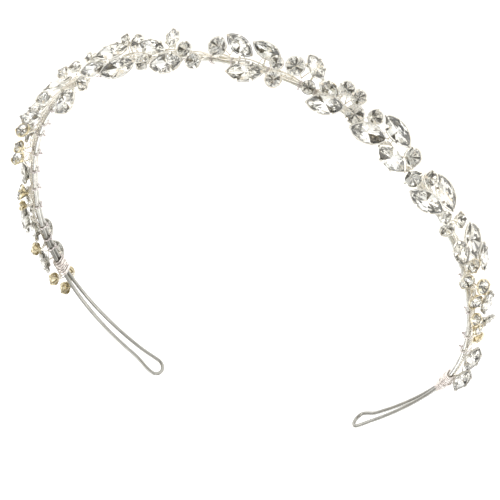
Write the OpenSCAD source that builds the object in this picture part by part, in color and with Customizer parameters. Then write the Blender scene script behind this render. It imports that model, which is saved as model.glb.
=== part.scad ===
// Crystal headband: two strands of one silver wire with a hairpin loop at each end, and a vine of
// navette and round crystals in claw settings along its outer side.
// It lies on its side, with the middle of the crown towards -Y and the loops towards +Y.

/* [Band wire] */
// Diameter of the band's wire
wire_d = 1.1; // [0.9:0.05:1.2]
// Gap between the two strands
strand_gap = 0.1; // [0.1:0.05:0.15]
// Radius of the wire's centre line round each loop's end
loop_r = 2.4; // [2.2:0.1:3]
// Height of the strands' middle above the surface that the band lies on
band_height = 7.12; // [7.12:0.1:9]

/* [Vine and ties] */
// Diameter of the vine wire along the outer side
vine_d = 0.8; // [0.6:0.05:0.9]
// Width across a stem under a setting
stem_d = 0.6; // [0.5:0.05:0.7]
// Diameter of the wire coiled round each loop's neck
coil_d = 0.5; // [0.4:0.05:0.55]
// Distance from one turn of the coil to the next
coil_pitch = 0.7; // [0.58:0.02:0.74]
// Width of a tie along the band
tie_w = 0.5; // [0.4:0.05:0.6]
// Thickness of a tie
tie_t = 0.4; // [0.3:0.05:0.45]
// Length of a tie's twisted stub on the inner side
stub_l = 1.1; // [0.9:0.1:3]

/* [Crystals and settings] */
// Width of a navette crystal as a share of its length
navette_slimness = 0.5; // [0.45:0.01:0.52]
// Thickness of the claw straps
strap_t = 0.32; // [0.25:0.01:0.34]
// Width of the claw straps
strap_w = 0.6; // [0.4:0.05:0.65]
// Gap between a crystal and its setting
stone_gap = 0.07; // [0.06:0.01:0.08]

/* [Hidden] */
// Gap between pieces that hold each other, and from a stem's middle to the setting over it
fit_gap = 0.08;
stem_clearance = 0.4;

// Stretches of the band from the first loop's end to the second's: length and the angle it bends by
STRETCH_L = 0;
STRETCH_BEND = 1;
STRETCHES = [
    [44, 36],
    [30, 23],
    [30, 16],
    [24, 18],
    [30, 20],
    [36, 30],
    [44, 50],
    [44, 32],
    [36, 23],
    [32, 27],
    [37, 15]
];
// Where the band starts and the heading it starts with
START = [38.3, 75.6, 324];
HEADING = 2;
band_l = sum_to(len(STRETCHES));

// The two coils: where each starts and ends along the band
LEFT_COIL = [45.5, 51.5];
RIGHT_COIL = [336, 344.5];
// The vine's two ends along the band
VINE = [37, 347];
// Where the ties hold the vine to the strands
TIES = [
    56, 60, 65, 74, 82, 90, 98, 107.5, 113, 121, 127, 133.5, 141, 147, 156, 168.5, 180, 188,
    194, 204, 213, 217.5, 231, 237, 244, 252, 262, 273, 281, 289.5, 304, 315, 322
];

// Columns of both crystal tables: place along the band, offset across it and outwards from it
ALONG = 0;
ACROSS = 1;
OUT = 2;
// Further columns: tip over the band's edge, size, pitch along the band, and a navette's turn
TIP = 3;
SIZE = 4;
PITCH = 5;
SPIN = 6;
// Turn of each round crystal on its own axis from the one before
round_turn = 37;
NAVETTES = [
    [51.7, 2, 3.6, 30, 8, -3, 5],
    [50, -4, 3.2, -10, 8, 0, 0],
    [62.5, -0.2, 3.8, 25, 8, -3, 15],
    [68, 1.7, 4.4, 20, 9, 0, 14],
    [73.2, -1.6, 3.6, 20, 8, 3, 18],
    [85.5, -0.7, 3.8, 20, 8, 3, 6],
    [106, -0.6, 3.9, 0, 8, 12, 35],
    [116, 3, 4, 0, 8, -35, -10],
    [111.8, -4.8, 4, 0, 8, -30, 0],
    [138, 5, 5, 0, 8, -20, 40],
    [137.5, 7.6, 0.5, 60, 10, -5, 15],
    [153, 5, 4, 30, 8, -15, 5],
    [158.5, 0.8, 5, 20, 9, -25, 25],
    [163, 7, 3.6, 40, 10, -20, 15],
    [173, 2.2, 5.4, 10, 8, -15, -10],
    [178.3, 6.5, 3.6, 40, 10, 0, 10],
    [177, -1.8, 4.9, 0, 7, 0, -65],
    [196, -1.5, 5.4, 30, 8, -20, -25],
    [200, 5.5, 4, 40, 10, 5, 15],
    [202.6, -2.6, 5, 20, 8, -10, -10],
    [214.8, -3.6, 5.4, 30, 8, 20, -35],
    [220.2, -0.4, 3.9, 30, 7, -40, 0],
    [221, 4.5, 4, 45, 10, 10, 25],
    [233.5, 4, 4, 45, 10, 0, 20],
    [239.5, -2.5, 5, 20, 10, 15, -15],
    [242.4, 4.5, 3.6, 45, 10, -5, 0],
    [260.5, -1.5, 5, 20, 10, 20, -25],
    [257.2, 5.2, 4, 45, 10, 25, 25],
    [278, -2.5, 4.6, 20, 10, 10, -20],
    [285.5, -4, 5, -10, 8, -5, -20],
    [277.5, 3, 3.6, 40, 8, 0, -5],
    [300, -1, 5, 12, 8, -10, -15],
    [307.5, -1, 5, 0, 5, -35, -15],
    [325, 0, 3.3, 50, 8, 15, -15],
    [336, 0, 3.8, 60, 8, 15, -10],
    [58.9, -4.1, 3.2, -10, 8, 0, 0]
];
ROUNDS = [
    [40, 1.2, 3, 0, 3.2, 0],
    [41.5, -3.5, 3, 0, 3.2, 0],
    [45.3, 2.8, 3, 0, 3.2, 0],
    [57.7, 3.1, 3.4, 0, 3.2, 0],
    [78.5, 1, 4.5, 15, 3.9, -10],
    [94, 1.5, 5, 20, 3.9, -45],
    [101, 3, 4.5, 20, 3.2, -35],
    [109.5, 3.5, 4.5, 20, 3.9, -45],
    [130.5, 6, 4.5, 10, 3.9, -40],
    [136, -0.5, 5, 10, 3.2, -20],
    [143.5, 1, 5, 10, 3.2, -25],
    [145.5, 5.2, 1.5, 50, 3.9, 0],
    [148.8, 0, 5, 20, 2.4, 0],
    [151.8, 0.5, 4.5, 20, 2.4, 0],
    [163, -1.2, 6.4, 20, 2.4, 0],
    [166.3, -1, 5, 20, 3.9, 0],
    [170.3, 5.6, 3.2, 40, 3.9, 0],
    [182, 2, 4.5, 30, 3.9, 0],
    [185.5, 5, 3.5, 40, 3.9, 0],
    [190.5, 0, 5, 30, 4.7, 0],
    [206.2, 0.3, 5.2, 30, 3.2, 0],
    [207, 4.3, 3.3, 40, 3.9, 0],
    [210.4, -1.3, 5, 30, 4.7, 0],
    [215.5, 2, 3.5, 40, 3.2, 0],
    [223.6, -2.1, 6, 20, 3.9, 0],
    [227.2, -3, 4.6, 20, 3.9, 0],
    [228.5, 1.5, 3.5, 45, 4.7, 0],
    [233, -1, 5, 20, 3.9, 0],
    [246.7, -0.1, 5, 20, 4.7, 0],
    [250.6, 3.5, 3.5, 45, 4.7, 0],
    [254.3, 0, 5, 20, 3.9, 0],
    [264.5, 3.6, 5, 20, 3.2, 0],
    [268.2, 4, 3.5, 45, 3.9, 0],
    [269.5, -1, 5, 0, 3.9, 0],
    [284.8, 0.7, 4, 30, 3.9, 0],
    [286.5, 5, 3.5, 40, 3.9, 0],
    [293, 0, 5, 15, 3.9, 20],
    [297, 2.5, 3.3, 30, 3.9, 0],
    [301.5, 4.5, 4, 20, 3.2, 15],
    [307, 3.5, 4, 10, 3.2, 0],
    [311, 3, 4, 0, 3.2, -45],
    [74.6, 2.4, 3.9, 10, 2.4, 0]
];

// Cut of a crystal: crown and pavilion as shares of its width, table and mid facets of its outline
crown_share = 0.2;
navette_pavilion_share = 0.32;
round_pavilion_share = 0.47;
table_share = 0.55;
mid_share = 0.8;
mid_height = 0.59;
facet_step = 22.5;

// Rim round a crystal's girdle, and how its claws bend over the crown
rim_h = 0.6;
rim_top = 0.05;
rim_wall = 0.25;
claw_reach = 0.45;
claw_t = 0.22;
// Cross straps of a navette, as a share of its length from the middle, and their depth
cross_share = 0.2;
cross_depth = 0.85;

// Sides of the swept wires, and the distance between their rings
wire_sides = 8;
thin_sides = 6;
coil_sides = 5;
coil_turn_steps = 12;
ring_step = 6;
neck_step = 4;
swell_step = 1.4;
cap_steps = 8;
// Half of the strands' distance where a loop's round end begins, and the share of the way from
// the neck at which it begins
loop_waist = 1.7;
swell_start = 0.83;
// The two loops: how far the end stands in from the band's end, how far the round end sits across
// the band, and how soon the strands part
INSET = 0;
SIDE = 1;
FLARE = 2;
LOOPS = [
    [1.1, 0.4, 0.7],
    [1.8, -0.4, 1.2]
];
// Directions sampled round a tie's outline
tie_steps = 12;
// Distance from a coil to a stem's root, and how far out and across a low stem bends
coil_room = 1;
bend_out = 0.45;
bend_across = 1.3;
stub_d = 0.8;
stub_lean = 25;

strand_r = wire_d / 2;
strand_side = (wire_d + strand_gap) / 2;
vine_r = vine_d / 2;
vine_out = sqrt(pow(strand_r + fit_gap + vine_r, 2) - pow(strand_side, 2));
// The three wires that the ties and coils wrap: offset out, offset across, radius
CORE = [[0, -strand_side, strand_r], [0, strand_side, strand_r], [vine_out, 0, vine_r]];

// Two digits of a number, for a node's name
function two_digits(n) = n < 10 ? str("0", n) : str(n);
function navette_name(i) = str("navette_", two_digits(i + 1));
$fn = 48;

function sum_to(n) = n == 0 ? 0 : STRETCHES[n - 1][STRETCH_L] + sum_to(n - 1);

// Where a walk of length d along one stretch ends, from place p with its heading
function walk_stretch(p, stretch, d) =
    let (radius = stretch[STRETCH_L] * 180 / (PI * stretch[STRETCH_BEND]))
    let (heading = p[HEADING] - stretch[STRETCH_BEND] * d / stretch[STRETCH_L])
    [
        p.x + radius * (sin(p[HEADING]) - sin(heading)),
        p.y - radius * (cos(p[HEADING]) - cos(heading)),
        heading
    ];

// Place and heading at distance s along the band
function walk(s, p = START, i = 0) =
    s <= STRETCHES[i][STRETCH_L] || i == len(STRETCHES) - 1
        ? walk_stretch(p, STRETCHES[i], s)
        : walk(s - STRETCHES[i][STRETCH_L], walk_stretch(p, STRETCHES[i], STRETCHES[i][STRETCH_L]), i + 1);

// Unit vectors at a heading: along the band and outwards from it
function ahead(heading) = [cos(heading), sin(heading), 0];
function outward(heading) = [-sin(heading), cos(heading), 0];

// Point at distance s along the band, offset outwards and across
function band_point(s, out, across) =
    let (p = walk(s))
    [p.x, p.y, band_height] + out * outward(p[HEADING]) + [0, 0, across];

// Distance from the band's end to the middle of a loop's round end
function loop_middle(loop) = loop[INSET] + loop_r;
// Share of the way from a loop's neck to its round end, at distance d from the band's end
function neck_share(d, neck, loop) = max(0, (neck - d) / (neck - loop_middle(loop)));
// How far the round end has swelled at a share of the way, from 0 to 1
function swell(share) =
    let (u = max(0, (share - swell_start) / (1 - swell_start)))
    u * u * (3 - 2 * u);
// Offset of one strand across the band, with side -1 or 1, as the strands part towards a loop
function parted(share, loop, side) =
    let (waist = strand_side + (loop_waist - strand_side) * pow(share, loop[FLARE]))
    loop[SIDE] * swell(share) + side * (waist + (loop_r - loop_waist) * swell(share));
function strand_across(s, side) =
    s < band_l / 2
        ? parted(neck_share(s, LEFT_COIL[0], LOOPS[0]), LOOPS[0], side)
        : parted(neck_share(band_l - s, band_l - RIGHT_COIL[1], LOOPS[1]), LOOPS[1], side);

// Evenly spaced places from one to another, no farther apart than a step
function even_stops(from, to, step) =
    let (count = ceil((to - from) / step))
    [for (i = [0 : count]) from + i * (to - from) / count];
function reversed(list) = [for (i = [len(list) - 1 : -1 : 0]) list[i]];
// Places of the rings from a loop's round end to just before its neck, closer along the swell
function neck_stops(middle, neck) =
    let (swelled = middle + (1 - swell_start) * (neck - middle))
    let (spread = even_stops(swelled, neck, neck_step))
    concat(
        [for (d = [middle : swell_step : swelled]) d],
        [for (i = [1 : len(spread) - 2]) spread[i]]
    );
// Places of the rings between the two necks, shared by the strands and the vine
MIDDLE_STOPS = even_stops(LEFT_COIL[0], RIGHT_COIL[1], ring_step);
STRAND_STOPS = concat(
    neck_stops(loop_middle(LOOPS[0]), LEFT_COIL[0]),
    MIDDLE_STOPS,
    [for (d = reversed(neck_stops(loop_middle(LOOPS[1]), band_l - RIGHT_COIL[1]))) band_l - d]
);
// Points round a loop's end, as distance along the band and offset across
function cap_points(middle, facing, side) = [
    for (i = [1 : cap_steps - 1])
        let (a = 180 * i / cap_steps)
        [middle + facing * loop_r * sin(a), side - facing * loop_r * cos(a)]
];
// The whole closed wire: up one strand, round a loop, back down the other and round
WIRE_ROUTE = concat(
    [for (s = STRAND_STOPS) [s, strand_across(s, -1)]],
    cap_points(band_l - loop_middle(LOOPS[1]), 1, LOOPS[1][SIDE]),
    [for (s = reversed(STRAND_STOPS)) [s, strand_across(s, 1)]],
    cap_points(loop_middle(LOOPS[0]), -1, LOOPS[0][SIDE])
);

function unit(v) = v / norm(v);
// One ring of a swept tube: round a point, in the plane of two unit vectors
function ring(centre, u, v, r, sides) = [
    for (j = [0 : sides - 1])
        centre + r * (cos(360 * j / sides) * u + sin(360 * j / sides) * v)
];
// Side faces between rings, from one ring to the next, the last joined to the first if closed
function tube_faces(rings, sides, closed) = [
    for (i = [0 : rings - (closed ? 1 : 2)], j = [0 : sides - 1], half = [0, 1])
        let (a = i * sides, b = ((i + 1) % rings) * sides, k = (j + 1) % sides)
        half == 0 ? [a + j, b + k, a + k] : [a + j, b + j, b + k]
];
function end_faces(rings, sides) = [
    [for (j = [0 : sides - 1]) j],
    [for (j = [sides - 1 : -1 : 0]) (rings - 1) * sides + j]
];
function flat(lists) = [for (list = lists, item = list) item];

// A wire swept along points, each ring in the plane across the route; side vectors are given
module open_tube(points, sides_out, r, sides) {
    n = len(points);
    rings = [
        for (i = [0 : n - 1])
            let (t = unit(points[min(i + 1, n - 1)] - points[max(i - 1, 0)]))
            let (v = unit(cross(t, sides_out[i])))
            ring(points[i], cross(v, t), v, r, sides)
    ];
    polyhedron(flat(rings), concat(tube_faces(n, sides, false), end_faces(n, sides)));
}

module frame_wire() {
    n = len(WIRE_ROUTE);
    points = [for (p = WIRE_ROUTE) band_point(p[0], 0, p[1])];
    rings = [
        for (i = [0 : n - 1])
            let (u = outward(walk(WIRE_ROUTE[i][0])[HEADING]))
            let (t = unit(points[(i + 1) % n] - points[(i + n - 1) % n]))
            let (v = unit(cross(t, u)))
            ring(points[i], u, v, strand_r, wire_sides)
    ];
    color([0.80, 0.80, 0.78])
        polyhedron(flat(rings), tube_faces(n, wire_sides, true));
}

// Outline round the three core wires: the point that lies farthest in one direction
function reach(c, a) = c[0] * cos(a) + c[1] * sin(a) + c[2];
function farthest(a) =
    let (r = [for (c = CORE) reach(c, a)])
    r[0] >= r[1] && r[0] >= r[2] ? CORE[0] : r[1] >= r[2] ? CORE[1] : CORE[2];
function wrapped(a, extra) =
    let (c = farthest(a))
    [c[0] + (c[2] + extra) * cos(a), c[1] + (c[2] + extra) * sin(a)];

// Wire coiled round the two strands and the vine
module coil(span) {
    turns = floor((span[1] - span[0]) / coil_pitch);
    steps = turns * coil_turn_steps;
    off = 1.3 * fit_gap + coil_d / 2;
    spots = [
        for (i = [0 : steps])
            let (w = wrapped(360 * i / coil_turn_steps, off))
            [span[0] + i * coil_pitch / coil_turn_steps, w[0], w[1]]
    ];
    points = [for (p = spots) band_point(p[0], p[1], p[2])];
    outs = [
        for (i = [0 : steps])
            let (a = 360 * i / coil_turn_steps)
            cos(a) * outward(walk(spots[i][0])[HEADING]) + [0, 0, sin(a)]
    ];
    color([0.86, 0.80, 0.72])
        open_tube(points, outs, coil_d / 2, coil_sides);
}

module left_binding() coil(LEFT_COIL);
module right_binding() coil(RIGHT_COIL);

// Stands the children at a place on the band: x along it, y down across it, z outwards
module at_band(s) {
    p = walk(s);
    translate([p.x, p.y, band_height])
        rotate([0, 0, p[HEADING]])
            rotate([-90, 0, 0])
                children();
}

// Band of a tie in the plane across the band, and its twisted stub on the inner side
module tie(s, lean) {
    angles = [for (i = [0 : tie_steps - 1]) 360 * (i + 0.5) / tie_steps];
    inner = [for (a = angles) let (w = wrapped(a, 1.5 * fit_gap)) [w[0], w[1]]];
    outer = [for (a = angles) let (w = wrapped(a, 1.5 * fit_gap + tie_t)) [w[0], w[1]]];
    at_band(s)
        rotate([0, -90, 0])
            difference() {
                linear_extrude(tie_w, center = true) polygon(outer);
                linear_extrude(2 * tie_w, center = true) polygon(inner);
            }
    at_band(s)
        translate([0, 0, -strand_r - 1.5 * fit_gap - tie_t / 2])
            rotate([180 + lean, 0, 0])
                cylinder(d = stub_d, h = stub_l, $fn = thin_sides);
}

module wire_ties() {
    color([0.88, 0.86, 0.83])
        for (i = [0 : len(TIES) - 1]) tie(TIES[i], i % 2 == 0 ? stub_lean : -stub_lean);
}

// Moves the children from a crystal's own frame, girdle on the ground, to its row's place
module at_crystal(row, spin) {
    at_band(row[ALONG])
        translate([0, -row[ACROSS], row[OUT]])
            rotate([row[TIP], 0, 0])
                rotate([0, 0, spin])
                    rotate([0, -row[PITCH], 0])
                        children();
}
module at_navette(row) at_crystal(row, row[SPIN]) children();
module at_round(i) at_crystal(ROUNDS[i], 0) rotate([0, 0, round_turn * i]) children();

// Point of a girdle outline at angle a; a navette's is the lens where two arcs meet
function lens_r(l, w) = (l * l + w * w) / (4 * w);
function lens_half(x, l, w) = sqrt(max(0, pow(lens_r(l, w), 2) - x * x)) - lens_r(l, w) + w / 2;
function outline(a, l, w) =
    l == w ? [l / 2 * cos(a), l / 2 * sin(a)]
    : [l / 2 * cos(a), sign(round(1000 * sin(a))) * lens_half(l / 2 * cos(a), l, w)];
function level(a, share, z, l, w) = let (p = outline(a, l, w)) [share * p.x, share * p.y, z];

// A cut crystal: octagonal table, star, main and girdle facets, and a pointed back
module cut_crystal(l, w, pavilion) {
    crown = crown_share * w;
    table_start = 0;
    mid_start = 8;
    girdle_start = 16;
    culet = 32;
    points = concat(
        [for (i = [0 : 7]) level(2 * i * facet_step, table_share, crown, l, w)],
        [for (i = [0 : 7]) level((2 * i + 1) * facet_step, mid_share, mid_height * crown, l, w)],
        [for (i = [0 : 15]) level(i * facet_step, 1, 0, l, w)],
        [[0, 0, -pavilion]]
    );
    faces = concat(
        [[for (i = [7 : -1 : 0]) table_start + i]],
        [for (i = [0 : 7]) [table_start + i, table_start + (i + 1) % 8, mid_start + i]],
        [for (i = [0 : 7]) [table_start + i, girdle_start + 2 * i, mid_start + (i + 7) % 8]],
        [for (i = [0 : 7]) [table_start + i, mid_start + i, girdle_start + 2 * i]],
        [for (i = [0 : 7]) [mid_start + i, girdle_start + 2 * i + 1, girdle_start + 2 * i]],
        [for (i = [0 : 7]) [mid_start + i, girdle_start + (2 * i + 2) % 16, girdle_start + 2 * i + 1]],
        [for (i = [0 : 15]) [girdle_start + i, girdle_start + (i + 1) % 16, culet]]
    );
    polyhedron(points, faces);
}

module navette(i) {
    l = NAVETTES[i][SIZE];
    w = l * navette_slimness;
    color([0.93, 0.93, 0.95])
        at_navette(NAVETTES[i])
            cut_crystal(l, w, navette_pavilion_share * w);
}

module round_crystals() {
    color([0.90, 0.90, 0.92])
        for (i = [0 : len(ROUNDS) - 1])
            at_round(i)
                cut_crystal(ROUNDS[i][SIZE], ROUNDS[i][SIZE], round_pavilion_share * ROUNDS[i][SIZE]);
}

// One strap under a crystal, bent up past its girdle and over its crown as a claw at each end
module claw_strap(half, depth, slope) {
    right = [
        [half - claw_reach, claw_reach * slope + 1.5 * stone_gap],
        [half + stone_gap, 0.1],
        [half + stone_gap, -0.05],
        [0, -depth - stone_gap]
    ];
    left = [for (i = [2 : -1 : 0]) [-right[i].x, right[i].y]];
    outer_right = [
        [0.4, -depth - stone_gap - strap_t],
        [half + stone_gap + strap_t, -0.1],
        [half + stone_gap + 0.8 * strap_t, 0.4],
        [half - 0.8 * claw_reach, claw_reach * slope + 1.5 * stone_gap + claw_t]
    ];
    outer_left = [for (i = [3 : -1 : 0]) [-outer_right[i].x, outer_right[i].y]];
    rotate([90, 0, 0])
        linear_extrude(strap_w, center = true)
            polygon(concat(right, left, outer_left, outer_right));
}

// Lens outline between two arcs
module lens(l, w) {
    r = lens_r(l, w);
    intersection() {
        translate([0, w / 2 - r]) circle(r);
        translate([0, r - w / 2]) circle(r);
    }
}

// The same outline with its arcs moved outwards
module grown_lens(l, w, growth) {
    r = lens_r(l, w);
    lens(2 * sqrt(pow(r + growth, 2) - pow(r - w / 2, 2)), w + 2 * growth);
}

module marquise_setting(l) {
    w = l * navette_slimness;
    pavilion = navette_pavilion_share * w;
    crown_slope = crown_share / (0.5 - 0.5 * table_share);
    translate([0, 0, rim_top - rim_h])
        difference() {
            linear_extrude(rim_h) grown_lens(l, w, stone_gap + rim_wall);
            translate([0, 0, -rim_h]) linear_extrude(3 * rim_h) grown_lens(l, w, stone_gap);
        }
    claw_strap(l / 2, pavilion, crown_slope * navette_slimness);
    for (x = [-cross_share * l, cross_share * l])
        translate([x, 0, 0])
            rotate([0, 0, 90])
                claw_strap(lens_half(abs(x) - strap_w / 2, l, w), cross_depth * pavilion, crown_slope);
}

module round_setting(d) {
    pavilion = round_pavilion_share * d;
    crown_slope = crown_share / (0.5 - 0.5 * table_share);
    open_d = d + 2 * stone_gap;
    translate([0, 0, rim_top - rim_h])
        difference() {
            cylinder(d = open_d + 2 * rim_wall, h = rim_h);
            translate([0, 0, -rim_h]) cylinder(d = open_d, h = 3 * rim_h);
        }
    for (turn = [0, 90])
        rotate([0, 0, turn]) claw_strap(d / 2, pavilion, crown_slope);
}

module marquise_settings() {
    color([0.78, 0.76, 0.72])
        for (row = NAVETTES) at_navette(row) marquise_setting(row[SIZE]);
}

module round_settings() {
    color([0.78, 0.76, 0.72])
        for (i = [0 : len(ROUNDS) - 1]) at_round(i) round_setting(ROUNDS[i][SIZE]);
}

// Rigid parts of at_crystal as vectors, to find the foot of a setting
function turn_x(v, a) = [v.x, v.y * cos(a) - v.z * sin(a), v.y * sin(a) + v.z * cos(a)];
function turn_y(v, a) = [v.x * cos(a) + v.z * sin(a), v.y, v.z * cos(a) - v.x * sin(a)];
function turn_z(v, a) = [v.x * cos(a) - v.y * sin(a), v.x * sin(a) + v.y * cos(a), v.z];
function foot_depth(width, share) = share * width + stone_gap + strap_t + stem_clearance;
// Foot of a setting in its place's own frame: along, down across and outwards
function foot(row, spin, depth) =
    [0, -row[ACROSS], row[OUT]] + turn_x(turn_z(turn_y([0, 0, -depth], -row[PITCH]), spin), row[TIP]);

// Nearest place that stands a distance clear of a stretch of the band
function beside(s, from, to, room) =
    s <= from - room || s >= to + room ? s
    : s - from < to - s ? from - room : to + room;
// Where a stem leaves the vine: clear of the coils and of each tie
function stem_root(s, i = 0) =
    i == len(TIES)
        ? beside(beside(s, LEFT_COIL[0], LEFT_COIL[1], coil_room), RIGHT_COIL[0], RIGHT_COIL[1], coil_room)
        : stem_root(beside(s, TIES[i] - tie_w / 2, TIES[i] + tie_w / 2, stem_d / 2 + fit_gap), i + 1);

// Straight length of stem wire from one point to another
module stem_length(start, end) {
    d = end - start;
    translate(start)
        rotate([0, acos(d.z / norm(d)), atan2(d.y, d.x)])
            cylinder(d = stem_d, h = norm(d), $fn = thin_sides);
}

// Stem from the vine's middle to just below a setting, bent over the strand to a low foot beside it
module stem(row, spin, depth) {
    f = foot(row, spin, depth);
    root = stem_root(row[ALONG]);
    start = band_point(root, vine_out, 0);
    end = band_point(row[ALONG], f.z, -f.y) + f.x * ahead(walk(row[ALONG])[HEADING]);
    if (f.z < vine_out && abs(f.y) > bend_across) {
        bend = band_point(root, vine_out + bend_out, -bend_across * sign(f.y));
        stem_length(start, bend);
        stem_length(bend, end);
    } else {
        stem_length(start, end);
    }
}

module vine_wire() {
    stops = concat([VINE[0]], MIDDLE_STOPS, [VINE[1]]);
    points = [for (s = stops) band_point(s, vine_out, 0)];
    outs = [for (s = stops) outward(walk(s)[HEADING])];
    color([0.87, 0.80, 0.70]) {
        open_tube(points, outs, vine_r, thin_sides);
        for (row = NAVETTES)
            stem(row, row[SPIN], foot_depth(row[SIZE] * navette_slimness, navette_pavilion_share));
        for (row = ROUNDS)
            stem(row, 0, foot_depth(row[SIZE], round_pavilion_share));
    }
}

frame_wire();
left_binding();
right_binding();
wire_ties();
vine_wire();
marquise_settings();
round_settings();
round_crystals();
for (i = [0 : len(NAVETTES) - 1])
    navette(i);
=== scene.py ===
import math

import bmesh
import bpy
from mathutils import Matrix, Vector


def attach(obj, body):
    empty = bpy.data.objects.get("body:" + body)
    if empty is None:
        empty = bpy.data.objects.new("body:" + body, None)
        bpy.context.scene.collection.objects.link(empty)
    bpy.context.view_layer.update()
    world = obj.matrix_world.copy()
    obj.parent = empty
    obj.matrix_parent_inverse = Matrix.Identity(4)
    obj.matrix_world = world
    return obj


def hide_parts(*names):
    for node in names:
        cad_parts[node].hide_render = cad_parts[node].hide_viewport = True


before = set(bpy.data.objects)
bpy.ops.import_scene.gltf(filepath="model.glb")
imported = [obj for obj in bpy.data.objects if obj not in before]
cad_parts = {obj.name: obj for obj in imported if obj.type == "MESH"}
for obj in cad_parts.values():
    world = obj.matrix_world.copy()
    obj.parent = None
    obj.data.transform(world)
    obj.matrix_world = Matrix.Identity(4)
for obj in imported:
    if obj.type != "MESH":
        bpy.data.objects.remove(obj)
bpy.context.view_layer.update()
MM = 0.001

# Stretches of the band from the first loop's end to the second's: length in mm and bend in degrees
STRETCHES = [
    (44, 36),
    (30, 23),
    (30, 16),
    (24, 18),
    (30, 20),
    (36, 30),
    (44, 50),
    (44, 32),
    (36, 23),
    (32, 27),
    (37, 15),
]
START_X, START_Y, START_HEADING = 38.3, 75.6, 324
BAND_L = sum(length for length, bend in STRETCHES)
BAND_HEIGHT = 7.12

# The band's wire and its loops, in mm
BAND_WIRE_R = 0.55
BAND_SPACING = 1.1
STRAND_SIDE = 0.6
LOOP_R = 2.4
LOOP_WAIST = 1.7
# Share of the way from a neck to its loop's round end where the swelling starts
SWELL_START = 0.83
# The two loops: how far the end stands in, how far its round end sits across, and its flare
LOOPS = [(1.1, 0.4, 0.7), (1.8, -0.4, 1.2)]
LOOP_POINTS = 20

# The coils round the loops' necks, in mm
LEFT_COIL = (45.5, 51.5)
RIGHT_COIL = (336, 344.5)
COIL_R = 0.25
COIL_PITCH = 0.7
COIL_GAP = 0.1
COIL_POINTS = 24
# Turns wound back over the coil, by where each starts along it and how far it crosses
LEFT_OVERLAPS = [(0.12, 2.1), (0.38, -1.6), (0.55, 2.6), (0.72, -2.2)]
RIGHT_OVERLAPS = [(0.3, 3.2)]
# An overlap starts further round the neck the further along the coil it is, in radians
OVERLAP_AROUND = 9
OVERLAP_OUT = 0.16 + 2.3 * COIL_R
OVERLAP_POINTS = 30

# The ties, by where each holds the band, in mm
TIES = [
    56, 60, 65, 74, 82, 90, 98, 107.5, 113, 121, 127, 133.5, 141, 147, 156, 168.5, 180, 188,
    194, 204, 213, 217.5, 231, 237, 244, 252, 262, 273, 281, 289.5, 304, 315, 322,
]
TIE_R = 0.18
TIE_GAP = 0.12
TIE_W = 0.34
TIE_TURNS = 2
TIE_POINTS = 22
STUB_L = 0.9
STUB_START = 0.3
STUB_LEAN = math.radians(25)
STUB_SPACING = 0.12

# The vine, in mm
VINE_R = 0.4
VINE_OUT = 0.842
VINE_ENDS = (37, 347)
VINE_WIRE_R = 0.17
# Twisted pairs: how far each wire stands from the pair's middle, and the pitch of the twist
SPINE_TWIST = (0.2, 2.6)
STEM_TWIST = (0.15, 1.6)
STUB_TWIST = (TIE_R, 1.2)
# A fixed direction that the turn of a twist is measured from
TWIST_FROM = Vector((0.21, 0.37, 0.9))
SPINE_SPACING = 0.4
STEM_SPACING = 0.25
# How far a stem's foot stands behind the point of its crystal's back
STEM_FOOT = 0.5
# How far each loose length of the vine's wire bows outwards and across between two ties
BOWS = [(0.5, 0.7), (0.9, -0.5), (1.3, 0.3), (0.7, -1.0), (0.35, 1.1)]
BOW_OUT = 0.25
BOW_SPACING = 1.2
# Ties at least this far apart let a length bow all the way
BOW_WHOLE_L = 9
# Share of a bow's height that varies from place to place, and its shift from length to length
BOW_UNEVEN = 0.25
BOW_SHIFT = 2.4
# Share of its offset across that a loose length keeps where a tie gathers it
BOW_GATHERED = 0.35
# The wire from foot to foot: how far outside the vine it dips to, how much of the way, its points
DIP_OUT = 0.45
DIP_SHARE = 0.75
DIP_POINTS = 14
# Stretch of the band with crystals, and how finely a crystal's place along it is looked for
STONES_FROM, STONES_TO = 30, 350
COARSE_STEP = 4
FINE_STEP = 0.25

# The crystals and their settings
PAVILION_FACETS = 16
# Which of the facets round a culet get painted dark reflections, in turn on the navettes, and on each
# round
NAVETTE_PAINTED_DARK = [(3, 4), (6, 7), (12,), (10, 11), (5, 13), (0, 1)]
ROUND_PAINTED_DARK = (2, 7, 8, 13)
# How many facets the pattern turns by from one round to the next
PAINTED_DARK_TURN = 3
# Which of a crystal's finishes is the silver foil, and which the foil painted dark as a painted dark
# reflection
FOIL_INDEX = 1
PAINTED_DARK_INDEX = 2
# In metres: how close points are joined, the lacquer's gap and thickness, and a softened edge
JOINED_WITHIN = 0.02 * MM
LACQUER_OUT = 0.02 * MM
LACQUER_T = 0.01 * MM
SOFT_EDGE = 0.05 * MM
# Faces within the first angle are one flat face, and edges over the second are softened
FLAT_ANGLE = math.radians(1)
SHARP_ANGLE = math.radians(35)

# The way from the headband to the camera, the camera's own frame in metres and its lens in mm
TOWARDS_CAMERA = (-0.378, -0.735, 0.562)
CAMERA_PLACE = (-0.3484, -0.6675, 0.5239)
CAMERA_RIGHT = (-0.89894, 0.14696, -0.41268)
CAMERA_UP = (0.22072, -0.66178, -0.71647)
CAMERA_LENS = 238.6

# The floor, in metres
FLOOR_R = 6
FLOOR_DROP = 0.02 * MM

# The range that noise mostly keeps to
NOISE_LOW, NOISE_HIGH = 0.35, 0.65


# The band's path


def walk(s):
    """Place and heading in degrees at distance s along the band, whose last stretch runs on."""
    x, y, heading = START_X, START_Y, START_HEADING
    left = s
    for length, bend in STRETCHES:
        step = min(left, length)
        if (length, bend) == STRETCHES[-1]:
            step = left
        radius = length / math.radians(bend)
        turned = heading - bend * step / length
        x += radius * (math.sin(math.radians(heading)) - math.sin(math.radians(turned)))
        y -= radius * (math.cos(math.radians(heading)) - math.cos(math.radians(turned)))
        heading = turned
        left -= step
        if left <= 0:
            break
    return x, y, heading


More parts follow.
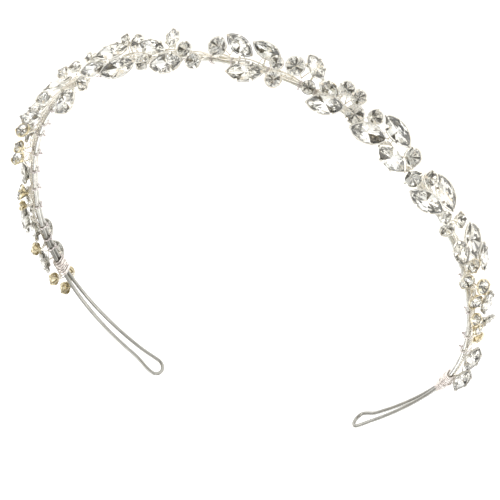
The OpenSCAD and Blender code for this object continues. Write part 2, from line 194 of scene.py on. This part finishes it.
def outward(heading):
    """The way out from the band, away from the wearer's head."""
    return Vector((-math.sin(math.radians(heading)), math.cos(math.radians(heading)), 0))


def on_band(s, out, across):
    """Point in metres at distance s along the band, offset outwards and across in mm."""
    x, y, heading = walk(s)
    return (Vector((x, y, BAND_HEIGHT)) + out * outward(heading) + Vector((0, 0, across))) * MM


def swell(share):
    """How far a loop's round end has swelled at a share of the way to it, from 0 to 1."""
    u = max(0.0, (share - SWELL_START) / (1 - SWELL_START))
    return u * u * (3 - 2 * u)


def parted(from_end, neck, loop, side):
    """Offset across of one strand near a loop, at a distance from the band's end."""
    inset, sits, flare = loop
    share = max(0.0, (neck - from_end) / (neck - inset - LOOP_R))
    waist = STRAND_SIDE + (LOOP_WAIST - STRAND_SIDE) * share**flare
    return sits * swell(share) + side * (waist + (LOOP_R - LOOP_WAIST) * swell(share))


def strand_across(s, side):
    """Offset across of one of the two strands, which part towards each loop."""
    if s < BAND_L / 2:
        return parted(s, LEFT_COIL[0], LOOPS[0], side)
    return parted(BAND_L - s, BAND_L - RIGHT_COIL[1], LOOPS[1], side)


# Materials


def material(name):
    """A new material with its nodes, its links and its shader."""
    made = bpy.data.materials.new(name)
    made.use_nodes = True
    nodes, links = made.node_tree.nodes, made.node_tree.links
    return made, nodes, links, nodes["Principled BSDF"]


def object_noise(nodes, links, scale, detail=3.0):
    """Noise that stays on the object."""
    place = nodes.new("ShaderNodeTexCoord")
    noise = nodes.new("ShaderNodeTexNoise")
    noise.inputs["Scale"].default_value = scale
    noise.inputs["Detail"].default_value = detail
    links.new(place.outputs["Object"], noise.inputs["Vector"])
    return noise.outputs["Fac"]


def ramp(nodes, links, source, stops):
    """Colours read from a value between stops of a position and a colour."""
    mixed = nodes.new("ShaderNodeValToRGB")
    mixed.color_ramp.elements[0].position = stops[0][0]
    mixed.color_ramp.elements[0].color = (*stops[0][1], 1)
    mixed.color_ramp.elements[1].position = stops[-1][0]
    mixed.color_ramp.elements[1].color = (*stops[-1][1], 1)
    for position, colour in stops[1:-1]:
        mixed.color_ramp.elements.new(position).color = (*colour, 1)
    links.new(source, mixed.inputs["Fac"])
    return mixed.outputs["Color"]


def between(nodes, links, source, low, high):
    """A number between low and high, read from a noise's usual range."""
    span = nodes.new("ShaderNodeMapRange")
    span.inputs["From Min"].default_value = NOISE_LOW
    span.inputs["From Max"].default_value = NOISE_HIGH
    span.inputs["To Min"].default_value = low
    span.inputs["To Max"].default_value = high
    links.new(source, span.inputs["Value"])
    return span.outputs["Result"]


def along(nodes, links, source, direction):
    """How far a place or a way reaches along a direction."""
    reach = nodes.new("ShaderNodeVectorMath")
    reach.operation = "DOT_PRODUCT"
    reach.inputs[1].default_value = direction
    links.new(source, reach.inputs[0])
    return reach.outputs["Value"]


def multiply(nodes, links, colour):
    """A node that multiplies a colour by another one."""
    product = nodes.new("ShaderNodeMix")
    product.data_type = "RGBA"
    product.blend_type = "MULTIPLY"
    product.inputs["Factor"].default_value = 1.0
    links.new(colour, product.inputs["A"])
    return product


def plated_metal(name, dark, light, rough, drift=350.0):
    """Plated wire: the plating's tone drifts slowly along it and fine drawing marks break the gloss."""
    made, nodes, links, shader = material(name)
    tone = object_noise(nodes, links, drift)
    links.new(ramp(nodes, links, tone, [(0.36, dark), (0.64, light)]), shader.inputs["Base Color"])
    marks = object_noise(nodes, links, scale=6000.0, detail=2.0)
    links.new(between(nodes, links, marks, *rough), shader.inputs["Roughness"])
    dents = nodes.new("ShaderNodeBump")
    dents.inputs["Strength"].default_value = 0.35
    dents.inputs["Distance"].default_value = 0.02 * MM
    links.new(marks, dents.inputs["Height"])
    links.new(dents.outputs["Normal"], shader.inputs["Normal"])
    shader.inputs["Metallic"].default_value = 1.0
    return made


def tint_along(made, direction, start, end, tint):
    """Tints a plating more and more along a direction, from none at the start to all at the end,
    both in metres."""
    nodes, links = made.node_tree.nodes, made.node_tree.links
    shader = nodes["Principled BSDF"]
    plating = shader.inputs["Base Color"].links[0].from_socket
    place = nodes.new("ShaderNodeTexCoord")
    fade = nodes.new("ShaderNodeMapRange")
    fade.inputs["From Min"].default_value = start
    fade.inputs["From Max"].default_value = end
    links.new(along(nodes, links, place.outputs["Object"], direction), fade.inputs["Value"])
    tinted = multiply(nodes, links, plating)
    tinted.inputs["B"].default_value = (*tint, 1)
    links.new(fade.outputs["Result"], tinted.inputs["Factor"])
    links.new(tinted.outputs["Result"], shader.inputs["Base Color"])


def cut_glass():
    """Clear lead glass with the faint tints that set one crystal off from the next."""
    made, nodes, links, shader = material("cut_glass")
    tone = object_noise(nodes, links, scale=60.0, detail=1.0)
    tints = [(0.35, (0.97, 0.985, 1.0)), (0.5, (1.0, 1.0, 0.995)), (0.65, (1.0, 0.985, 0.955))]
    links.new(ramp(nodes, links, tone, tints), shader.inputs["Base Color"])
    polish = object_noise(nodes, links, scale=2500.0)
    links.new(between(nodes, links, polish, 0.0, 0.03), shader.inputs["Roughness"])
    shader.inputs["IOR"].default_value = 1.58
    shader.inputs["Transmission Weight"].default_value = 1.0
    return made


def foil(name, dark, light, rough):
    """Foil or lacquer on a crystal's back, slightly uneven, which scatters a little of the light."""
    made, nodes, links, shader = material(name)
    tone = object_noise(nodes, links, scale=260.0)
    links.new(ramp(nodes, links, tone, [(0.35, dark), (0.65, light)]), shader.inputs["Base Color"])
    grain = object_noise(nodes, links, scale=1800.0)
    links.new(between(nodes, links, grain, *rough), shader.inputs["Roughness"])
    shader.inputs["Metallic"].default_value = 0.88
    return made


# Platings by their darkest and lightest tone and their range of roughness
BAND_SILVER = plated_metal("band_silver_wire", (0.66, 0.65, 0.61), (0.80, 0.79, 0.74), (0.1, 0.25))
TIE_SILVER = plated_metal("tie_silver_wire", (0.60, 0.55, 0.54), (0.78, 0.74, 0.72), (0.1, 0.25))
CHAMPAGNE = plated_metal("champagne_wire", (0.78, 0.74, 0.66), (0.95, 0.92, 0.85), (0.1, 0.25))
COIL_WIRE = plated_metal(
    "coil_wire", (0.60, 0.55, 0.52), (0.93, 0.88, 0.84), (0.12, 0.3), drift=900.0
)
CLAW_PLATING = ((0.72, 0.70, 0.64), (0.90, 0.88, 0.82), (0.1, 0.28))
CLAW_SILVER = plated_metal("claw_silver", *CLAW_PLATING)
ROUND_CLAW_SILVER = plated_metal("round_claw_silver", *CLAW_PLATING)

# The band is darker towards its loops, and towards its two ends the navettes' settings are darker and
# the rounds' settings more golden
LEFT, RIGHT = (1, 0, 0), (-1, 0.3, 0)
tint_along(BAND_SILVER, (0.2, 1, 0), 0.028, 0.038, (0.5, 0.5, 0.49))
tint_along(CLAW_SILVER, LEFT, 0.048, 0.06, (0.64, 0.64, 0.64))
tint_along(CLAW_SILVER, RIGHT, 0.062, 0.07, (0.68, 0.68, 0.68))
tint_along(ROUND_CLAW_SILVER, LEFT, 0.05, 0.06, (0.72, 0.66, 0.50))
tint_along(ROUND_CLAW_SILVER, RIGHT, 0.064, 0.07, (0.90, 0.83, 0.68))

CRYSTAL = cut_glass()
SILVER_FOIL = foil("silver_foil", (0.96, 0.945, 0.885), (0.99, 0.985, 0.96), (0.0, 0.06))
# Near-black foil that paints dark reflections onto some facets of the crystals
PAINTED_DARK_REFLECTION = foil("painted_dark_reflection", (0.09, 0.08, 0.055), (0.19, 0.17, 0.13), (0.0, 0.06))
GREY_LACQUER = foil("grey_lacquer", (0.66, 0.67, 0.61), (0.86, 0.86, 0.80), (0.15, 0.35))
GOLD_LACQUER = foil("gold_lacquer", (0.76, 0.65, 0.40), (0.94, 0.86, 0.64), (0.2, 0.4))


def dress(piece, slot, *finishes):
    """Gives a piece its finishes and lets it ride on the band; the slot is not used."""
    for finish in finishes:
        piece.data.materials.append(finish)
    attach(piece, "root")
    return piece


# Wires


def wire_piece(name, runs, radius, sides, closed=False):
    """One piece made of round wires, each swept along its own run of points."""
    route = bpy.data.curves.new(name, "CURVE")
    route.dimensions = "3D"
    route.bevel_depth = radius * MM
    # A bevel resolution of n gives the wire 2n + 4 sides
    route.bevel_resolution = sides // 2 - 2
    route.use_fill_caps = not closed
    for run in runs:
        line = route.splines.new("POLY")
        line.points.add(len(run) - 1)
        for spot, at in zip(line.points, run):
            spot.co = (*at, 1)
        line.use_cyclic_u = closed
        line.use_smooth = True
    piece = bpy.data.objects.new(name, route)
    bpy.context.scene.collection.objects.link(piece)
    return piece


def steps(start, end, size):
    """Even stops from start to end, no further apart than a size."""
    count = max(1, math.ceil((end - start) / size))
    return [start + (end - start) * i / count for i in range(count + 1)]


def straight(start, end, spacing):
    """Points of a straight line between two places, no further apart than a spacing in mm."""
    count = max(2, math.ceil((end - start).length / (spacing * MM)))
    return [start.lerp(end, i / count) for i in range(count + 1)]


def strand_round(line, radius, pitch, start_angle):
    """A thin wire twisted round a line of points, given the line as places in metres."""
    run = []
    turned = start_angle
    for i, at in enumerate(line):
        before, after = line[max(i - 1, 0)], line[min(i + 1, len(line) - 1)]
        forward = (after - before).normalized()
        side = forward.cross(TWIST_FROM).normalized()
        other = forward.cross(side)
        if i:
            turned += math.tau * (at - line[i - 1]).length / (pitch * MM)
        run.append(at + (side * math.cos(turned) + other * math.sin(turned)) * radius * MM)
    return run


def twisted_pair(line, twist):
    """The two wires of a pair that is twisted along a line of points."""
    return [strand_round(line, *twist, turn) for turn in (0, math.pi)]


def loop_end(middle, facing, sits):
    """The round end of a loop, half a circle that faces along the band or back."""
    return [
        on_band(
            middle + facing * LOOP_R * math.sin(math.pi * i / LOOP_POINTS),
            0,
            sits - facing * LOOP_R * math.cos(math.pi * i / LOOP_POINTS),
        )
        for i in range(1, LOOP_POINTS)
    ]


def band_wire():
    """The band: one wire that runs up and back, and turns in a loop at each end."""
    first = LOOPS[0][0] + LOOP_R
    last = BAND_L - LOOPS[1][0] - LOOP_R
    stops = steps(first, last, BAND_SPACING)
    run = [on_band(s, 0, strand_across(s, -1)) for s in stops]
    run += loop_end(last, 1, LOOPS[1][1])
    run += [on_band(s, 0, strand_across(s, 1)) for s in reversed(stops)]
    run += loop_end(first, -1, LOOPS[0][1])
    return wire_piece("band_wire", [run], BAND_WIRE_R, sides=16, closed=True)


def wrapped(angle, extra):
    """Offset outwards and across of a turn of wire laid round both strands and the vine."""
    core = [(0, -STRAND_SIDE, BAND_WIRE_R), (0, STRAND_SIDE, BAND_WIRE_R), (VINE_OUT, 0, VINE_R)]
    out, across, r = max(
        core, key=lambda c: c[0] * math.cos(angle) + c[1] * math.sin(angle) + c[2]
    )
    return out + (r + extra) * math.cos(angle), across + (r + extra) * math.sin(angle)


def coil(name, span, overlaps):
    """Wire wound tightly round the neck of a loop, with turns wound back across the others."""
    turns = math.floor((span[1] - span[0]) / COIL_PITCH)
    run = []
    for i in range(turns * COIL_POINTS + 1):
        out, across = wrapped(math.tau * i / COIL_POINTS, COIL_GAP + COIL_R)
        run.append(on_band(span[0] + i * COIL_PITCH / COIL_POINTS, out, across))
    runs = [run]
    for share, crossing in overlaps:
        start = span[0] + share * (span[1] - span[0])
        start_angle = share * OVERLAP_AROUND
        turn = []
        for i in range(OVERLAP_POINTS + 1):
            out, across = wrapped(start_angle + math.tau * i / COIL_POINTS, OVERLAP_OUT)
            turn.append(on_band(start + crossing * i / OVERLAP_POINTS, out, across))
        runs.append(turn)
    return wire_piece(name, runs, COIL_R, sides=10)


def tie_run(s, lean):
    """One tie: from the tip of its twisted stub, twice round the band, and back to the tip."""
    heading = walk(s)[2]
    root = on_band(s, -BAND_WIRE_R - STUB_START, 0)
    tip_way = -outward(heading) * math.cos(lean) - Vector((0, 0, math.sin(lean)))
    tip = root + tip_way * STUB_L * MM
    there, back = twisted_pair(straight(tip, root, STUB_SPACING), STUB_TWIST)
    count = TIE_TURNS * TIE_POINTS
    turns = []
    for i in range(count + 1):
        out, across = wrapped(math.pi + math.tau * i / TIE_POINTS, TIE_GAP + TIE_R)
        turns.append(on_band(s - TIE_W / 2 + TIE_W * i / count, out, across))
    return there + turns + list(reversed(back))


def wire_ties():
    """All the ties, whose stubs lean to the two sides in turn."""
    runs = [tie_run(s, STUB_LEAN if i % 2 == 0 else -STUB_LEAN) for i, s in enumerate(TIES)]
    return wire_piece("twisted_ties", runs, TIE_R, sides=6)


def nearest_stop(at):
    """Distance along the band of the place nearest to a crystal, seen from above."""
    def away(s):
        x, y = walk(s)[:2]
        return (x - at.x / MM) ** 2 + (y - at.y / MM) ** 2

    near = min(range(STONES_FROM, STONES_TO, COARSE_STEP), key=away)
    reach = round((COARSE_STEP + 1) / FINE_STEP)
    return min((near + FINE_STEP * i for i in range(-reach, reach + 1)), key=away)


def sagging(start, end, low):
    """A loose wire from one foot to the next that dips towards a point on the vine."""
    return [
        start.lerp(end, i / DIP_POINTS).lerp(
            low, DIP_SHARE * math.sin(math.pi * i / DIP_POINTS) ** 2
        )
        for i in range(DIP_POINTS + 1)
    ]


def loose_lengths():
    """Lengths of the vine's wire that the ties gather and that bow apart between them."""
    runs = []
    for number, (out, across) in enumerate(BOWS):
        run = []
        for start, end in zip(TIES, TIES[1:]):
            uneven = (1 - BOW_UNEVEN) + BOW_UNEVEN * math.sin(number * BOW_SHIFT + start)
            height = uneven * min(1, (end - start) / BOW_WHOLE_L)
            for s in steps(start, end, BOW_SPACING)[:-1]:
                bow = height * math.sin(math.pi * (s - start) / (end - start))
                spread = across * (BOW_GATHERED + (1 - BOW_GATHERED) * bow)
                run.append(on_band(s, VINE_OUT + BOW_OUT + out * bow, spread))
        runs.append(run)
    return runs


def vine(stones):
    """The vine: thin wires twisted along the band, loose lengths beside them, a twisted stem to
    each setting, and the wire that runs on from one setting's foot to the next."""
    spine = [on_band(s, VINE_OUT, 0) for s in steps(*VINE_ENDS, SPINE_SPACING)]
    runs = twisted_pair(spine, SPINE_TWIST) + loose_lengths()
    feet = []
    for middle, culet in stones:
        foot = culet + (culet - middle).normalized() * STEM_FOOT * MM
        s = nearest_stop(middle)
        stem = straight(on_band(s, VINE_OUT, 0), foot, STEM_SPACING)
        runs += twisted_pair(stem, STEM_TWIST)
        feet.append((s, foot))
    feet.sort(key=lambda place: place[0])
    for (s, foot), (next_s, next_foot) in zip(feet, feet[1:]):
        low = on_band((s + next_s) / 2, VINE_OUT + DIP_OUT, 0)
        runs.append(sagging(foot, next_foot, low))
    return wire_piece("twisted_vine", runs, VINE_WIRE_R, sides=6)


# Crystals and settings


def merged_copy(nodes):
    """A mesh copy of CAD nodes with their loose triangles joined."""
    bm = bmesh.new()
    for node in nodes:
        bm.from_mesh(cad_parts[node].data)
    bmesh.ops.remove_doubles(bm, verts=bm.verts[:], dist=JOINED_WITHIN)
    return bm


def mesh_piece(bm, name):
    """A new object in the scene with a mesh's shape."""
    mesh = bpy.data.meshes.new(name)
    bm.to_mesh(mesh)
    bm.free()
    piece = bpy.data.objects.new(name, mesh)
    bpy.context.scene.collection.objects.link(piece)
    return piece


def culets(bm):
    """The point of each crystal's back, where its pavilion facets meet."""
    return [v for v in bm.verts if len(v.link_edges) == PAVILION_FACETS]


def turn_of(facet, middle, culet, first):
    """Which of the facets round a culet this one is, counted from the first one's side."""
    axis = (culet - middle).normalized()
    side = (first - middle).normalized()
    way = facet.calc_center_median() - middle
    angle = math.atan2(way.dot(axis.cross(side)), way.dot(side))
    return math.floor(angle % math.tau / math.tau * PAVILION_FACETS)


def crystal_piece(node, name, painted_dark_facets):
    """Glass crown over a foiled back, with painted dark reflections on the facets that lie in the given
    pattern, with the middle and the culet of each of its crystals."""
    bm = merged_copy([node])
    places = []
    for number, culet in enumerate(culets(bm)):
        girdle = [e.other_vert(culet).co for e in culet.link_edges]
        middle = sum(girdle, Vector()) / len(girdle)
        places.append((middle, culet.co.copy()))
        for facet in culet.link_faces:
            turn = turn_of(facet, middle, culet.co, girdle[0]) + PAINTED_DARK_TURN * number
            # Facets in the pattern get the foil painted dark, a painted dark reflection
            painted_dark = turn % PAVILION_FACETS in painted_dark_facets
            facet.material_index = PAINTED_DARK_INDEX if painted_dark else FOIL_INDEX
    return mesh_piece(bm, name), places


def lacquered_backs(nodes, name):
    """The lacquer over the foil, a thin shell just outside the pavilion facets."""
    shell = merged_copy(nodes)
    kept = {facet for culet in culets(shell) for facet in culet.link_faces}
    bmesh.ops.delete(shell, geom=[f for f in shell.faces if f not in kept], context="FACES")
    for point in shell.verts:
        point.co += point.normal * LACQUER_OUT
    bmesh.ops.solidify(shell, geom=shell.faces[:], thickness=-LACQUER_T)
    return mesh_piece(shell, name)


def setting_piece(node, name):
    """Claw settings with the edges of their straps and rims softened."""
    bm = merged_copy([node])
    bmesh.ops.dissolve_limit(
        bm, angle_limit=FLAT_ANGLE, verts=bm.verts[:], edges=bm.edges[:]
    )
    piece = mesh_piece(bm, name)
    soft = piece.modifiers.new("polished_edges", "BEVEL")
    soft.width = SOFT_EDGE
    soft.segments = 1
    soft.limit_method = "ANGLE"
    soft.angle_limit = SHARP_ANGLE
    return piece


# The headband


def crystals():
    """Every crystal and its lacquered back, and the middle and culet of each."""
    navettes = sorted(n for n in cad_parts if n.startswith("navette_"))
    stones = []
    for number, node in enumerate(navettes):
        painted_dark_facets = NAVETTE_PAINTED_DARK[number % len(NAVETTE_PAINTED_DARK)]
        piece, places = crystal_piece(node, node.replace("navette", "navette_crystal"), painted_dark_facets)
        dress(piece, "crystal", CRYSTAL, SILVER_FOIL, PAINTED_DARK_REFLECTION)
        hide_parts(node)
        stones += places
    piece, places = crystal_piece("round_crystals", "round_cut_crystals", ROUND_PAINTED_DARK)
    dress(piece, "crystal", CRYSTAL, SILVER_FOIL, PAINTED_DARK_REFLECTION)
    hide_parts("round_crystals")
    stones += places
    dress(lacquered_backs(navettes, "navette_backs"), "crystal", GREY_LACQUER)
    dress(lacquered_backs(["round_crystals"], "round_backs"), "crystal", GOLD_LACQUER)
    return stones


def wires(stones):
    """The band, its two coils, the ties and the vine."""
    piece = dress(band_wire(), "band_silver", BAND_SILVER)
    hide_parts("frame_wire")
    piece = dress(coil("left_coil", LEFT_COIL, LEFT_OVERLAPS), "champagne_wire", COIL_WIRE)
    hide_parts("left_binding")
    piece = dress(coil("right_coil", RIGHT_COIL, RIGHT_OVERLAPS), "champagne_wire", COIL_WIRE)
    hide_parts("right_binding")
    piece = dress(wire_ties(), "tie_silver", TIE_SILVER)
    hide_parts("wire_ties")
    piece = dress(vine(stones), "champagne_wire", CHAMPAGNE)
    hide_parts("vine_wire")


def settings():
    """The claw settings of the navettes and of the round crystals."""
    piece = dress(setting_piece("marquise_settings", "marquise_claws"), "claw_silver", CLAW_SILVER)
    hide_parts("marquise_settings")
    piece = dress(setting_piece("round_settings", "round_claws"), "claw_silver", ROUND_CLAW_SILVER)
    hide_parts("round_settings")


# Floor, light and camera


def floor():
    """A pale floor that glows a little."""
    bm = bmesh.new()
    bmesh.ops.create_circle(bm, cap_ends=True, radius=FLOOR_R, segments=64)
    plate = mesh_piece(bm, "studio_floor")
    made, nodes, links, shader = material("pale_floor")
    tone = object_noise(nodes, links, scale=3.0)
    greys = [(0.3, (0.93, 0.93, 0.93)), (0.7, (0.95, 0.95, 0.95))]
    links.new(ramp(nodes, links, tone, greys), shader.inputs["Base Color"])
    shader.inputs["Roughness"].default_value = 0.9
    shader.inputs["Emission Color"].default_value = (1, 1, 1, 1)
    shader.inputs["Emission Strength"].default_value = 0.3
    plate.data.materials.append(made)
    plate.location.z = -FLOOR_DROP


def softbox(name, place, width, height, power):
    """A soft light that faces the headband and throws no shadow."""
    light = bpy.data.lights.new(name, "AREA")
    light.shape = "RECTANGLE"
    light.size = width
    light.size_y = height
    light.energy = power
    light.use_shadow = False
    lamp = bpy.data.objects.new(name, light)
    lamp.location = place
    lamp.rotation_mode = "QUATERNION"
    lamp.rotation_quaternion = (-Vector(place)).to_track_quat("-Z", "Y")
    bpy.context.scene.collection.objects.link(lamp)


def studio_walls():
    """Pale walls with a dark line low down, a dark end behind the camera, and a few gaps and warm
    panels, which the crystals reflect."""
    world = bpy.data.worlds.new("studio_walls")
    world.use_nodes = True
    nodes, links = world.node_tree.nodes, world.node_tree.links
    back = nodes["Background"]
    way = nodes.new("ShaderNodeTexCoord").outputs["Generated"]
    walls = ramp(
        nodes, links, along(nodes, links, way, (0, 0, 1)),
        [(0.0, (1, 1, 1)), (0.1, (1, 1, 1)), (0.15, (0.45, 0.45, 0.45)),
         (0.22, (0.9, 0.91, 0.92)), (0.7, (0.84, 0.84, 0.83)), (0.9, (0.9, 0.9, 0.9))],
    )
    dark_end = ramp(
        nodes, links, along(nodes, links, way, TOWARDS_CAMERA),
        [(0.955, (1, 1, 1)), (0.98, (0.07, 0.065, 0.06)), (1.0, (0.05, 0.045, 0.04))],
    )
    gaps = nodes.new("ShaderNodeTexNoise")
    gaps.inputs["Scale"].default_value = 2.6
    gaps.inputs["Detail"].default_value = 1.0
    links.new(way, gaps.inputs["Vector"])
    panels = ramp(
        nodes, links, gaps.outputs["Fac"],
        [(0.28, (0.16, 0.15, 0.18)), (0.35, (0.18, 0.16, 0.12)), (0.40, (1, 1, 1)),
         (0.58, (1, 1, 1)), (0.66, (1.0, 0.86, 0.68))],
    )
    room = multiply(nodes, links, walls)
    links.new(dark_end, room.inputs["B"])
    lit = multiply(nodes, links, room.outputs["Result"])
    links.new(panels, lit.inputs["B"])
    links.new(lit.outputs["Result"], back.inputs["Color"])
    back.inputs["Strength"].default_value = 1.08
    bpy.context.scene.world = world


def studio():
    """Four softboxes and the walls round them."""
    softbox("top_softbox", (0.1, 0.1, 1.2), width=0.9, height=0.9, power=4)
    softbox("left_softbox", (1.1, -0.2, 0.7), width=0.5, height=0.9, power=2.5)
    softbox("right_softbox", (-1.1, 0.1, 0.6), width=0.4, height=0.8, power=2)
    softbox("back_softbox", (0.2, 1.3, 0.6), width=1.0, height=0.4, power=2.5)
    studio_walls()
    bpy.context.scene.view_settings.view_transform = "Standard"


def camera():
    """The camera at the photo's angle."""
    view = bpy.data.cameras.new("photo_camera")
    view.sensor_width = 36
    view.lens = CAMERA_LENS
    view.clip_start = 0.01
    view.clip_end = 50
    eye = bpy.data.objects.new("photo_camera", view)
    right, up = Vector(CAMERA_RIGHT), Vector(CAMERA_UP)
    turn = Matrix((right, up, right.cross(up))).transposed().to_4x4()
    turn.translation = Vector(CAMERA_PLACE)
    eye.matrix_world = turn
    bpy.context.scene.collection.objects.link(eye)
    bpy.context.scene.camera = eye


wires(crystals())
settings()
floor()
studio()
camera()
